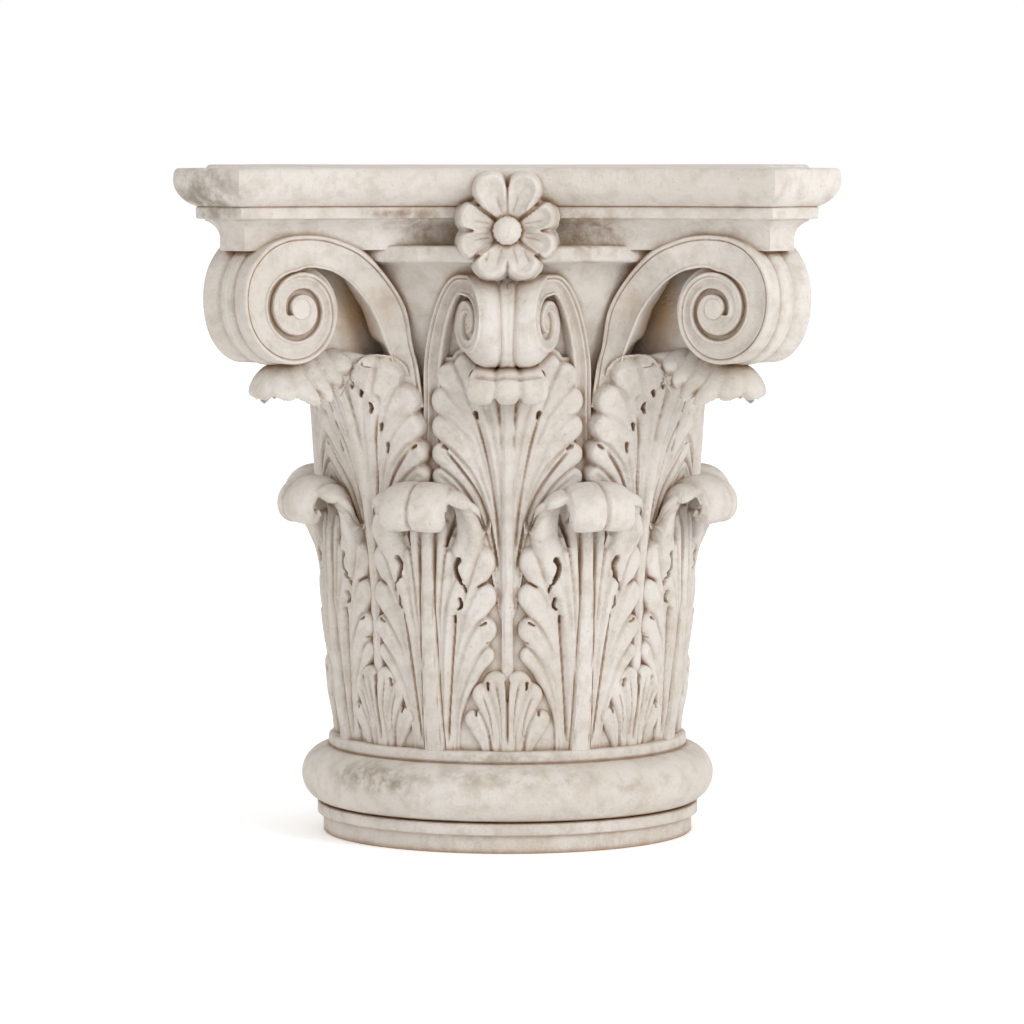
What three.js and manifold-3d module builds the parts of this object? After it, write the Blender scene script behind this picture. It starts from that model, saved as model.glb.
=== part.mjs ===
// Corinthian capital carved from one block of stone.
// Units are millimetres. The origin is the centre of the underside, +Z is up
// and the front of the capital looks along -Y. The body repeats every quarter
// turn, so each sub-part is described once and turned about the Z axis.
import * as THREE from 'three';
import Module from 'manifold-3d';

const HEIGHT = 529; // underside to the top of the abacus
const SPAN = 504; // across two opposite faces of the abacus at the horns

// base rings
const PLINTH_RADIUS = 147.2;
const PLINTH_TOP = 14.4;
const FOOT_RADIUS = 152;
const FOOT_TOP = 24;
const TORUS_RADIUS = 164.4;
const TORUS_HALF_HEIGHT = 22.4;
const NECK_RADIUS = 142.4;
const NECK_TOP = 78.4;

// bell behind the leaves, with a projecting lip under the abacus
const BELL_RADIUS = 132;
const BELL_WAIST_Z = 330;
const BELL_TOP_RADIUS = 172;
const LIP_RADIUS = 200;
const LIP_BOTTOM = 456;

// abacus
const ABACUS_BOTTOM = 467;
const HORN_HALF_WIDTH = 206;
const HOLLOW = 48; // depth of the concave side at its middle
const OVOLO_STEP = 18;
const OVOLO_BOTTOM = 500;
const FILLET_BOTTOM = 491.5;
const CAVETTO_STEP = 33;
const CAVETTO_BOTTOM = 480;

const EIGHTH = Math.PI / 4;

// point at azimuth az (0 is the front, positive towards +X), radius r, height z
function at(az, r, z) {
  return new THREE.Vector3(r * Math.sin(az), -r * Math.cos(az), z);
}

// closed solid through rings of equal point count, ends closed by fans
function loft(rings) {
  const count = rings[0].length;
  const points = [];
  const faces = [];
  rings.forEach((ring) => ring.forEach((p) => points.push(p.x, p.y, p.z)));
  for (let i = 0; i + 1 < rings.length; i++) {
    for (let j = 0; j < count; j++) {
      const k = (j + 1) % count;
      const a = i * count + j;
      const b = i * count + k;
      faces.push(a, b, b + count, a, b + count, a + count);
    }
  }
  [0, rings.length - 1].forEach((row) => {
    const middle = new THREE.Vector3();
    rings[row].forEach((p) => middle.addScaledVector(p, 1 / count));
    const hub = points.length / 3;
    points.push(middle.x, middle.y, middle.z);
    for (let j = 0; j < count; j++) {
      const a = row * count + j;
      const b = row * count + ((j + 1) % count);
      if (row === 0) {
        faces.push(hub, b, a);
      } else {
        faces.push(hub, a, b);
      }
    }
  });
  return facingOut(points, faces);
}

// signed volume decides which way the faces look
function facingOut(points, faces) {
  let volume = 0;
  for (let i = 0; i < faces.length; i += 3) {
    const [a, b, c] = [3 * faces[i], 3 * faces[i + 1], 3 * faces[i + 2]];
    volume += points[a] * (points[b + 1] * points[c + 2] - points[b + 2] * points[c + 1]);
    volume += points[a + 1] * (points[b + 2] * points[c] - points[b] * points[c + 2]);
    volume += points[a + 2] * (points[b] * points[c + 1] - points[b + 1] * points[c]);
  }
  return { points, faces: volume < 0 ? faces.reverse() : faces };
}

// smooth curve through rows of numbers, read at t from 0 to 1
function through(rows) {
  const last = rows.length - 1;
  return (t) => {
    const x = Math.min(Math.max(t, 0), 1) * last;
    const i = Math.min(Math.floor(x), last - 1);
    const f = x - i;
    const row = (n) => rows[Math.min(Math.max(n, 0), last)];
    return rows[0].map((_, c) => {
      const [a, b, d, e] = [row(i - 1)[c], row(i)[c], row(i + 1)[c], row(i + 2)[c]];
      const curve = 2 * a - 5 * b + 4 * d - e;
      const twist = -a + 3 * b - 3 * d + e;
      return b + 0.5 * f * (d - a + f * (curve + f * twist));
    });
  };
}

function revolve(profile, steps) {
  return loft(
    profile.map(([r, z]) => {
      const ring = [];
      for (let i = 0; i < steps; i++) {
        ring.push(at((i * 2 * Math.PI) / steps, r, z));
      }
      return ring;
    }),
  );
}

function base() {
  const profile = [
    [PLINTH_RADIUS, 0],
    [PLINTH_RADIUS, PLINTH_TOP],
    [FOOT_RADIUS, PLINTH_TOP],
    [FOOT_RADIUS, FOOT_TOP],
  ];
  const middle = FOOT_TOP + TORUS_HALF_HEIGHT;
  const centre = TORUS_RADIUS - TORUS_HALF_HEIGHT;
  for (let i = 1; i < 6; i++) {
    const a = (i / 6 - 0.5) * Math.PI;
    const r = centre + TORUS_HALF_HEIGHT * Math.cos(a);
    profile.push([Math.max(r, NECK_RADIUS), middle + TORUS_HALF_HEIGHT * Math.sin(a)]);
  }
  profile.push([NECK_RADIUS, FOOT_TOP + 2 * TORUS_HALF_HEIGHT]);
  profile.push([NECK_RADIUS, NECK_TOP]);
  return revolve(profile, 28);
}

function bell() {
  const profile = [
    [BELL_RADIUS, BELL_WAIST_Z],
  ];
  for (let i = 1; i <= 2; i++) {
    const t = i / 2;
    const r = BELL_RADIUS + (BELL_TOP_RADIUS - BELL_RADIUS) * t ** 2.2;
    profile.push([r, BELL_WAIST_Z + (LIP_BOTTOM - BELL_WAIST_Z) * t]);
  }
  profile.push([LIP_RADIUS - 5, LIP_BOTTOM]);
  profile.push([LIP_RADIUS, LIP_BOTTOM + 6]);
  profile.push([LIP_RADIUS - 3, ABACUS_BOTTOM + 0.5]);
  profile.push([BELL_RADIUS, ABACUS_BOTTOM + 6]);
  return revolve(profile, 20);
}

// outline of the abacus with every side moved in by step
function abacusRing(step, z) {
  const ring = [];
  const half = HORN_HALF_WIDTH - 0.414 * step;
  const round = (half ** 2 + HOLLOW ** 2) / (2 * HOLLOW);
  for (let side = 0; side < 4; side++) {
    const turn = side * 2 * EIGHTH;
    for (let i = -5; i <= 5; i += 2) {
      const x = (i / 5) * half;
      const rise = HOLLOW - round + Math.sqrt(round ** 2 - x ** 2);
      const y = -(SPAN / 2 - step) + rise;
      const [c, s] = [Math.cos(turn), Math.sin(turn)];
      ring.push(new THREE.Vector3(x * c - y * s, x * s + y * c, z));
    }
  }
  return ring;
}

function abacus() {
  const rings = [abacusRing(CAVETTO_STEP, ABACUS_BOTTOM)];
  for (let i = 1; i <= 2; i++) {
    const a = (i / 2) * (Math.PI / 2);
    const step = CAVETTO_STEP - (CAVETTO_STEP - 23) * (1 - Math.cos(a));
    const z = CAVETTO_BOTTOM + (FILLET_BOTTOM - CAVETTO_BOTTOM) * Math.sin(a);
    rings.push(abacusRing(step, z));
  }
  rings.push(abacusRing(17, FILLET_BOTTOM));
  rings.push(abacusRing(17, OVOLO_BOTTOM));
  for (let i = 1; i <= 2; i++) {
    const a = (i / 2) * (Math.PI / 2);
    const z = OVOLO_BOTTOM + (HEIGHT - 10 - OVOLO_BOTTOM) * Math.sin(a);
    rings.push(abacusRing(OVOLO_STEP * Math.cos(a), z));
  }
  rings.push(abacusRing(4, HEIGHT));
  return loft(rings);
}

// A tier is a ring of eight acanthus leaves standing against the bell. Each leaf
// is listed from its root to the crest of its rolled tip: height, radius of the
// middle, half width, how far the flanks fall back, radius of the bell in the
// gap beside it, and radius of whatever fills the middle of that gap.
const FLUTES = [[-1, 0], [-0.5, -2.5], [0, 2.5], [0.5, -2.5], [1, 0]];
const GAP_EDGE = 0.025;

function tier(kinds, firstAzimuth) {
  return loft(
    kinds[0].map((_, row) => {
      const ring = [];
      for (let n = 0; n < 8; n++) {
        const [z, radius, half, fall, gap, filling] = kinds[n % kinds.length][row];
        const az = firstAzimuth + n * EIGHTH;
        const edge = half / (radius - fall);
        ring.push(at(az - EIGHTH / 2, filling, z));
        ring.push(at(az - edge - GAP_EDGE, gap, z));
        FLUTES.forEach(([u, relief]) => {
          ring.push(at(az + u * edge, radius - fall * u * u + relief, z));
        });
        ring.push(at(az + edge + GAP_EDGE, gap, z));
      }
      return ring;
    }),
  );
}

const LOWER_LEAF = [
  [NECK_TOP - 1, 140, 20, 2, 135, 140],
  [106, 144, 26, 3, 135, 145],
  [130, 147, 34, 4, 135, 146],
  [150, 149, 53, 5, 136, 141],
  [169, 150, 44, 5, 136, 136],
  [190, 152, 54, 6, 136, 136],
  [204, 153, 45, 6, 136, 136],
  [226, 156, 54, 8, 136, 136],
  [245, 161, 45, 13, 136, 136],
  [252, 190, 44, 38, 136, 136],
  [267, 204, 42, 46, 136, 136],
  [281, 198, 36, 40, 136, 136],
  [290, 172, 22, 18, 136, 136],
];

const FACE_LEAF = [
  [238, 142, 8, 1, 130, 130],
  [283, 150, 26, 3, 132, 132],
  [297, 154, 58, 7, 136, 136],
  [312, 155, 49, 7, 138, 138],
  [331, 158, 59, 9, 140, 140],
  [344, 166, 49, 16, 141, 141],
  [351, 183, 44, 28, 142, 142],
  [363, 188, 40, 32, 142, 142],
  [377, 181, 32, 25, 142, 142],
  [384, 164, 20, 12, 142, 142],
];

const CORNER_LEAF = [
  [238, 144, 8, 1, 130, 130],
  [283, 158, 26, 3, 132, 132],
  [297, 166, 58, 11, 136, 136],
  [312, 174, 52, 13, 138, 138],
  [331, 192, 58, 26, 140, 140],
  [342, 226, 46, 50, 141, 141],
  [350, 260, 40, 72, 142, 142],
  [364, 272, 37, 76, 142, 142],
  [377, 258, 32, 66, 142, 142],
  [385, 196, 20, 18, 142, 142],
];

function leaves() {
  return [tier([LOWER_LEAF], EIGHTH / 2), tier([FACE_LEAF, CORNER_LEAF], 0)];
}

// Scroll standing in a vertical plane through the axis. The band winds in from
// the top, outwards first, and grows wider across as it nears the eye.
const CORNER_SCROLL = {
  eyeRadius: 250, eyeZ: 420, reach: 57, eye: 9, turns: 1.5, depth: 17,
  narrow: 25, wide: 31, web: 18, steps: 8,
};
const FACE_SCROLL = {
  eyeRadius: 177, eyeZ: 409, reach: 28, eye: 6, turns: 1.25, depth: 10,
  narrow: 22, wide: 33, web: 14, steps: 6.4,
};

function scrollPoint(az, s, radius, turn, across) {
  const p = at(az, s.eyeRadius + radius * Math.sin(turn), s.eyeZ + radius * Math.cos(turn));
  p.x += across * Math.cos(az);
  p.y += across * Math.sin(az);
  return p;
}

function scroll(az, s) {
  const end = s.turns * 2 * Math.PI;
  const reachAt = (turn) => s.reach - ((s.reach - s.eye) * turn) / end;
  const band = [];
  const count = s.turns * s.steps;
  for (let i = 0; i <= count; i++) {
    const turn = (i / count) * (end + 0.5) - 0.5;
    const outer = turn < 0 ? s.reach : reachAt(turn);
    const inner = Math.max(outer - s.depth, 0.5);
    const half = s.narrow + (s.wide - s.narrow) * Math.max(turn / end, 0);
    band.push([
      scrollPoint(az, s, outer, turn, half - 2),
      scrollPoint(az, s, inner, turn, half),
      scrollPoint(az, s, inner, turn, -half),
      scrollPoint(az, s, outer, turn, 2 - half),
    ]);
  }
  const sides = [-s.web, s.web].map((across) => {
    const ring = [];
    for (let i = 0; i < 10; i++) {
      const turn = (i / 10) * 2 * Math.PI;
      ring.push(scrollPoint(az, s, reachAt(turn) - s.depth / 2, turn, across));
    }
    return ring;
  });
  const boss = [-s.wide - 2, s.wide + 2].map((across) => {
    const ring = [];
    for (let i = 0; i < 6; i++) {
      ring.push(scrollPoint(az, s, s.eye, (i / 6) * 2 * Math.PI, across));
    }
    return ring;
  });
  return s.eye > 8 ? [loft(band), loft(sides), loft(boss)] : [loft(band), loft(sides)];
}

// Ribbon standing on the bell: stations give azimuth in degrees, radius, height,
// width of the face and how deep the ribbon is let in behind it.
function ribbon(stations, steps, mirror) {
  const curve = through(stations);
  const place = (t) => {
    const [deg, r, z] = curve(t);
    return at((mirror * deg * Math.PI) / 180, r, z);
  };
  const rings = [];
  for (let i = 0; i <= steps; i++) {
    const t = i / steps;
    const p = place(t);
    const [deg, , , width, deep] = curve(t);
    const along = place(t + 0.02).sub(place(t - 0.02)).normalize();
    const az = (mirror * deg * Math.PI) / 180;
    const outward = at(az, 1, 0);
    const across = new THREE.Vector3().crossVectors(along, outward).normalize();
    const put = (side, sink) => p.clone().addScaledVector(across, side).addScaledVector(outward, -sink);
    rings.push([
      put(width / 2, 0),
      put(-width / 2, 0),
      put(-width / 2, deep),
      put(width / 2, deep),
    ]);
  }
  return loft(rings);
}

const CORNER_STALK = [
  [25, 158, 368, 22, 30],
  [26.5, 164, 388, 26, 34],
  [28, 172, 405, 28, 38],
  [33, 192, 434, 26, 44],
  [38, 218, 455, 22, 40],
  [41, 246, 466, 18, 30],
];

const FACE_STALK = [
  [19, 157, 368, 14, 30],
  [18.5, 160, 386, 16, 32],
  [17, 166, 402, 15, 30],
  [12, 176, 428, 14, 34],
  [7, 184, 437, 12, 34],
];

// Flower of four notched petals on the middle of each side of the abacus
const FLOWER_Z = 483;
const FLOWER_REACH = 41;
const FLOWER_FACE = 214;

function petal(az, turn) {
  const place = (out, side, depth) => {
    const x = out * Math.sin(turn) + side * Math.cos(turn);
    const z = out * Math.cos(turn) - side * Math.sin(turn);
    const p = at(az, FLOWER_FACE + depth, FLOWER_Z + z);
    p.x += x * Math.cos(az);
    p.y += x * Math.sin(az);
    return p;
  };
  const heart = (scale, depth) => {
    const ring = [];
    for (let i = 0; i < 8; i++) {
      const a = (i / 8) * 2 * Math.PI;
      const notch = 1 - 0.22 * Math.exp(-((Math.cos(a) - 1) ** 2) * 60);
      const out = 23 + 18 * scale * Math.cos(a) * notch;
      const side = 25 * scale * Math.sin(a) * (0.72 + 0.34 * Math.cos(a));
      ring.push(place(out, side, depth + 3 * scale * Math.cos(a)));
    }
    return ring;
  };
  return loft([heart(0.9, -30), heart(1, 2)]);
}

function boss(az) {
  const rings = [[11, -8], [9, 6]].map(([r, depth]) => {
    const ring = [];
    for (let i = 0; i < 6; i++) {
      const a = (i / 6) * 2 * Math.PI;
      const p = at(az, FLOWER_FACE + depth, FLOWER_Z + r * Math.cos(a));
      p.x += r * Math.sin(a) * Math.cos(az);
      p.y += r * Math.sin(a) * Math.sin(az);
      ring.push(p);
    }
    return ring;
  });
  return loft(rings);
}

function quarterParts(az) {
  const parts = [
    ...scroll(az, FACE_SCROLL),
    ...scroll(az + EIGHTH, CORNER_SCROLL),
    boss(az),
  ];
  for (let i = 0; i < 4; i++) {
    parts.push(petal(az, i * 2 * EIGHTH));
  }
  return parts;
}

function turned(solid, angle) {
  const points = [];
  const [c, s] = [Math.cos(angle), Math.sin(angle)];
  for (let i = 0; i < solid.points.length; i += 3) {
    const [x, y, z] = solid.points.slice(i, i + 3);
    points.push(x * c - y * s, x * s + y * c, z);
  }
  return { points, faces: solid.faces };
}

function stalks() {
  const all = [];
  [1, -1].forEach((mirror) => {
    const corner = ribbon(CORNER_STALK, 4, mirror);
    const face = ribbon(FACE_STALK, 3, mirror);
    for (let i = 0; i < 4; i++) {
      all.push(turned(corner, i * 2 * EIGHTH));
      all.push(turned(face, i * 2 * EIGHTH));
    }
  });
  return all;
}

const wasm = await Module();
wasm.setup();

function solidOf({ points, faces }) {
  return new wasm.Manifold(
    new wasm.Mesh({
      numProp: 3,
      vertProperties: new Float32Array(points),
      triVerts: new Uint32Array(faces),
    }),
  );
}

function joined(list) {
  return list.map(solidOf).reduce((whole, next) => whole.add(next));
}

const pieces = [base(), bell(), abacus(), ...leaves(), ...stalks()];
for (let i = 0; i < 4; i++) {
  pieces.push(...quarterParts(i * 2 * EIGHTH));
}
const block = joined(pieces).getMesh();

const geometry = new THREE.BufferGeometry();
geometry.setAttribute('position', new THREE.BufferAttribute(block.vertProperties, 3));
geometry.setIndex(new THREE.BufferAttribute(block.triVerts, 1));
geometry.computeVertexNormals();

const stone = new THREE.MeshStandardMaterial({ color: 0xd8ccbc, roughness: 0.9, metalness: 0 });
const capital = new THREE.Mesh(geometry, stone);
capital.name = 'capital';

const group = new THREE.Group();
group.name = 'corinthian_capital';
group.add(capital);

export default group;
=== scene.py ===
"""Carved surface of a Corinthian capital: leaves, scrolls, flowers, abacus and base rings in worn limestone.

Lengths in the carving functions are millimetres. Azimuth 0 is the front, positive towards +X.
The capital repeats every quarter turn, so each carving is made once and repeated by nodes.
"""

from math import cos, pi, radians, sin

import bpy
import numpy as np
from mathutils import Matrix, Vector


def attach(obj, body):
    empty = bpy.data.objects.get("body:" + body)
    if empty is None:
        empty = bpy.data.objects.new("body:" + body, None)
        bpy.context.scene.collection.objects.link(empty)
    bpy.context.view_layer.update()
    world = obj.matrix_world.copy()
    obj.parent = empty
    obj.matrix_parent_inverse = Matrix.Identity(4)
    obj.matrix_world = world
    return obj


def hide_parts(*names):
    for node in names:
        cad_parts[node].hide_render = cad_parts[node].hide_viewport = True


MM = 0.001
SPAN = 504.0  # across the abacus
HOLLOW = 52.0  # depth of the hollow in each side of the abacus
HORN = 199.5  # half the width of a hollow side, from its middle to the cut corner
NECK_STEP = 35.0  # how far the neck of the abacus stands in from its widest level
LOWER_AZIMUTH = radians(23.9)  # a pair of lower leaves stands this far each side of a face's middle
CORNER = radians(45)
QUARTER = pi / 2
GRID = 0.8  # spacing of the points that the leaves are carved on
SHARP = radians(52)  # edges sharper than this are shaded as edges

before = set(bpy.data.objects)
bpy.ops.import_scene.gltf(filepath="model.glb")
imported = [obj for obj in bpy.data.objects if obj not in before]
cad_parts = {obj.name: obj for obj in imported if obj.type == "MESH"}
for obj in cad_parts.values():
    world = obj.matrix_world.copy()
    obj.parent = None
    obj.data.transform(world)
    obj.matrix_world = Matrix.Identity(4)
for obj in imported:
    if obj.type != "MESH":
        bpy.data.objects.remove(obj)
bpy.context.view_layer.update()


# ---- curves and meshes


def smooth_path(points, count):
    """count points on a smooth curve through the given ones, evenly in arc length."""
    p = np.asarray(points, float)
    ends = np.vstack([2 * p[0] - p[1], p, 2 * p[-1] - p[-2]])
    dense = []
    for i in range(len(p) - 1):
        a, b, c, d = ends[i : i + 4]
        u = np.linspace(0, 1, 24, endpoint=False)[:, None]
        dense.append(
            b + 0.5 * u * (c - a + u * (2 * a - 5 * b + 4 * c - d + u * (3 * b - a - 3 * c + d)))
        )
    dense = np.vstack([*dense, p[-1:]])
    steps = np.linalg.norm(np.diff(dense, axis=0), axis=1)
    length = np.concatenate([[0], np.cumsum(steps)])
    where = np.linspace(0, length[-1], count)
    return np.stack([np.interp(where, length, dense[:, k]) for k in range(p.shape[1])], axis=1)


def spread(values, u):
    """values, evenly spaced over 0 to 1, read at u."""
    return np.interp(u, np.linspace(0, 1, len(values)), values)


def ease(x):
    """0 below 0, 1 above 1 and a smooth rise between."""
    x = np.clip(x, 0, 1)
    return x * x * (3 - 2 * x)


def polar(azimuth, radius, z):
    """Points in the capital's frame from azimuth, radius and height."""
    azimuth, radius, z = np.broadcast_arrays(azimuth, radius, z)
    return np.stack([radius * np.sin(azimuth), -radius * np.cos(azimuth), z], axis=-1)


def turned(points, angle):
    """Points turned about the upright axis."""
    x, y = points[..., 0], points[..., 1]
    c, s = cos(angle), sin(angle)
    return np.stack([x * c - y * s, x * s + y * c, points[..., 2]], axis=-1)


def side_reach(step):
    """Half the width of a hollow side of the abacus, at a level that stands in by step."""
    return HORN - 0.06 * step


class Shape:
    """Points in millimetres and faces, gathered from closed parts."""

    def __init__(self):
        self.points = []
        self.faces = []
        self.count = 0

    def add(self, points, faces, flip=False):
        """Adds points and faces, with the faces turned over if flip is set."""
        points = np.asarray(points, float).reshape(-1, 3)
        for face in faces:
            ring = [int(i) + self.count for i in face]
            self.faces.append(ring[::-1] if flip else ring)
        self.points.append(points)
        self.count += len(points)

    def mesh(self, name):
        """The whole shape as a mesh in metres."""
        made = bpy.data.meshes.new(name)
        made.from_pydata((np.vstack(self.points) * MM).tolist(), [], self.faces)
        made.update()
        return made


def paired(half, azimuth):
    """A shape and its mirror image in the upright plane at azimuth."""
    whole = Shape()
    points = np.vstack(half.points)
    whole.add(points, half.faces)
    points = turned(points, -azimuth)
    points[:, 0] *= -1
    whole.add(turned(points, azimuth), half.faces, flip=True)
    return whole


def tube(rings):
    """Points and faces of a closed skin through equal rings, with a point at the middle of each end."""
    rings = np.asarray(rings, float)
    rows, across = rings.shape[:2]
    points = np.vstack([rings.reshape(-1, 3), rings[0].mean(axis=0), rings[-1].mean(axis=0)])
    faces = []
    for i in range(rows - 1):
        for j in range(across):
            k = (j + 1) % across
            faces.append((i * across + j, i * across + k, (i + 1) * across + k, (i + 1) * across + j))
    first, last = rows * across, rows * across + 1
    for j in range(across):
        k = (j + 1) % across
        faces.append((first, k, j))
        faces.append((last, (rows - 1) * across + j, (rows - 1) * across + k))
    corners = points[np.array([f[:3] for f in faces])]
    volume = np.einsum("ij,ij->i", corners[:, 0], np.cross(corners[:, 1], corners[:, 2])).sum()
    square = np.array([f for f in faces if len(f) == 4])
    rest = points[square[:, [0, 2, 3]]]
    volume += np.einsum("ij,ij->i", rest[:, 0], np.cross(rest[:, 1], rest[:, 2])).sum()
    return points, faces if volume > 0 else [f[::-1] for f in faces]


# ---- relief carving


class Relief:
    """Carving as height h over a sheet. t runs across it and s up it, and both halves mirror in t."""

    FLOOR = -24.0  # height of the ground, which no stone reaches
    CLIFF = 9.0  # fall for each millimetre past a leaflet's edge
    RIB_EDGE = -7.0  # the rolled tip ends where its ribs fall below this
    THIN = 1.5  # least thickness at the edge of the rolled tip

    def __init__(self, half_width, low, high, step):
        self.extent = (half_width, low, high, step)
        across = np.arange(-round(half_width / step), round(half_width / step) + 1) * step
        self.t, self.s = np.meshgrid(across, np.arange(low, high + step, step))
        self.h = np.full(self.t.shape, self.FLOOR)
        self.next = self.h.copy()  # the second highest leaflet at each point
        self.roll = None  # relief on the other side of the sheet, seen where the tip rolls over

    def near(self, points, reach, count=26):
        """Grid points near a path, with their distance to it and place along it."""
        path = smooth_path(points, count)
        x = np.abs(self.t)
        low, high = path.min(axis=0) - reach, path.max(axis=0) + reach
        inside = (x >= low[0]) & (x <= high[0]) & (self.s >= low[1]) & (self.s <= high[1])
        px, ps = x[inside], self.s[inside]
        best = np.full(px.shape, 1e9)
        along = np.zeros(px.shape)
        for i in range(count - 1):
            (ax, az), (bx, bz) = path[i], path[i + 1]
            dx, dz = bx - ax, bz - az
            f = np.clip(((px - ax) * dx + (ps - az) * dz) / (dx * dx + dz * dz), 0, 1)
            d = np.hypot(px - ax - f * dx, ps - az - f * dz)
            closer = d < best
            best[closer] = d[closer]
            along[closer] = ((i + f) / (count - 1))[closer]
        return inside, best, along

    def raise_to(self, inside, h):
        """Raises the carving to h where that is higher."""
        old = self.h[inside]
        self.next[inside] = np.maximum(self.next[inside], np.minimum(old, h))
        self.h[inside] = np.maximum(old, h)

    def blade(self, points, widths, crests, drop=7.0, power=2.0, channel=0.0):
        """A leaflet, rounded from its crest down by drop to its edge, with a channel along its middle.

        points are its middle line; widths and crests are its half width and crest height, evenly along it.
        """
        inside, d, u = self.near(points, max(widths) + 3)
        width = spread(widths, u)
        q = np.minimum(d / width, 1)
        body = 1 - (1 - q**power) ** (1 / power)
        h = spread(crests, u) - drop * body - channel * np.exp(-((q / 0.3) ** 2)) * ease(u * 3)
        h -= np.clip(d - width, 0, None) * self.CLIFF
        self.raise_to(inside, np.maximum(h, self.FLOOR))

    def creases(self, depth, width):
        """Cuts a fine line wherever two leaflets meet."""
        close = np.exp(-(((self.h - self.next) / width) ** 2))
        self.h -= np.where(self.next > self.FLOOR + 3, depth * close, 0)

    def groove(self, points, half_width, depth):
        """A round-bottomed groove that runs out at both ends."""
        inside, d, u = self.near(points, half_width + 1)
        fade = np.minimum(1, 8 * np.minimum(u, 1 - u) + 0.3)
        cut = depth * np.clip(1 - (d / half_width) ** 2, 0, 1) * fade
        self.h[inside] -= np.where(self.h[inside] > self.FLOOR + 1, cut, 0)

    def drill(self, points, radii, depth):
        """A tapering hole along points, as a drill and chisel leave it."""
        inside, d, u = self.near(points, max(radii) + 1, 10)
        cut = depth * ease(1.7 * (1 - d / spread(radii, u)))
        h = self.h[inside]
        self.h[inside] = np.where(h > self.FLOOR + 4, np.maximum(h - cut, self.FLOOR + 3), h)

    def soften(self, times=1):
        """Rounds every edge by about one grid space."""
        for _ in range(times):
            for axis in (0, 1):
                h = self.h
                self.h = (np.roll(h, 1, axis) + 2 * h + np.roll(h, -1, axis)) / 4

    def with_roll(self, thick):
        """Where stone is kept, and its thickness with the ribs of the rolled tip on its other side."""
        kept = self.h > self.FLOOR + 0.3
        if self.roll is None:
            return kept, thick
        start, half, ribs = self.roll
        rolled = (self.s > start) & (np.abs(self.t) < half)
        past_edge = ribs.h <= self.RIB_EDGE
        self.h = np.where(rolled & past_edge, self.FLOOR, self.h)
        inner = ease((half + 1.5 - np.abs(self.t)) / 3)
        ribbed = np.clip(ribs.h, self.THIN - thick, None) * ease((self.s - start) / 12) * inner
        return kept & ~(rolled & past_edge), thick + ribbed

    def solid(self, sheet):
        """Closed shape of the carving. sheet(t, s) gives the points of the bare sheet and its thickness."""
        bare, thick = sheet(self.t, self.s)
        kept, thick = self.with_roll(thick)
        cells = kept[:-1, :-1] | kept[1:, :-1] | kept[:-1, 1:] | kept[1:, 1:]
        for _ in range(3):  # no two cells may touch at a corner only
            a, b, c, d = cells[:-1, :-1], cells[:-1, 1:], cells[1:, :-1], cells[1:, 1:]
            touch = (a & d & ~b & ~c) | (b & c & ~a & ~d)
            for cell in (a, b, c, d):
                cell |= touch
        normal = np.cross(np.gradient(bare, axis=1), np.gradient(bare, axis=0))
        normal /= np.maximum(np.linalg.norm(normal, axis=2), 1e-9)[..., None]
        front = (bare + normal * np.maximum(self.h, 0.6 - thick)[..., None]).reshape(-1, 3)
        back = (bare - normal * thick[..., None]).reshape(-1, 3)
        size = self.h.size
        index = np.arange(size).reshape(self.h.shape)
        i, j = np.nonzero(cells)
        quads = np.stack([index[i, j], index[i, j + 1], index[i + 1, j + 1], index[i + 1, j]], axis=1)
        edges = np.vstack([quads[:, [k, (k + 1) % 4]] for k in range(4)]).astype(np.int64)
        ways, ways_back = edges[:, 0] * size + edges[:, 1], edges[:, 1] * size + edges[:, 0]
        rim = edges[~np.isin(ways, ways_back)]
        used = np.unique(quads)
        number = np.zeros(size, int)
        number[used] = np.arange(len(used))
        quads = number[quads]
        rim = number[rim]
        behind = len(used)
        walls = np.stack([rim[:, 1], rim[:, 0], rim[:, 0] + behind, rim[:, 1] + behind], axis=1)
        faces = np.vstack([quads, quads[:, ::-1] + behind, walls])
        shape = Shape()
        shape.add(np.vstack([front[used], back[used]]), faces.tolist())
        return shape


# ---- leaves
#
# Rows of the tables, where a line is (across, up) points: a leaflet is (middle line, half widths,
# crest heights), a groove is (line, half width, depth) and a drilled eye is (line, radii, depth).


def spine_rows(body, roll):
    """Rows of s, radius and height on a leaf's middle line, given its body and its roll as (radius, height).

    s is the height on the body, and goes on as the length round the roll.
    """
    rows = [(z, r, z) for r, z in body]
    path = smooth_path(roll, 40)
    length = rows[-1][0] + np.cumsum(np.linalg.norm(np.diff(path, axis=0), axis=1))
    rows += [(s, r, z) for s, (r, z) in zip(length, path[1:])]
    return np.array(rows).T


LOWER_SPINE = spine_rows(
    [(139, 77), (144, 110), (148, 150), (151, 190), (152, 235), (152, 245)],
    [(152, 245), (150.5, 257), (152.5, 269), (158.5, 278), (168, 281), (178, 278), (184.4, 270.5),
     (184.6, 262.5), (180.5, 259), (175.5, 261)],
)


def lower_sheet(t, s):
    """Lower leaf: upright to the hood, which arches across and rolls outwards at its middle."""
    r, z = np.interp(s, LOWER_SPINE[0], LOWER_SPINE[1]), np.interp(s, LOWER_SPINE[0], LOWER_SPINE[2])
    x = np.abs(t)
    out = np.clip(1 - (x / 47) ** 2, 0, 1)
    up = np.clip(1 - (x / 51) ** 2.2, 0.1, 1) ** 0.7
    rolled = s > 245
    r = np.where(rolled, 152 + (r - 152) * out, r) - 1.2 * (x / 55) ** 2
    r += 8 * ease((x - 24) / 16) * ease((s - 222) / 38)
    z = np.where(rolled, 245 + (z - 245) * up, z)
    thick = 26 - 19 * ease((s - 232) / 32)
    return polar(t / 151, r, z), thick


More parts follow.
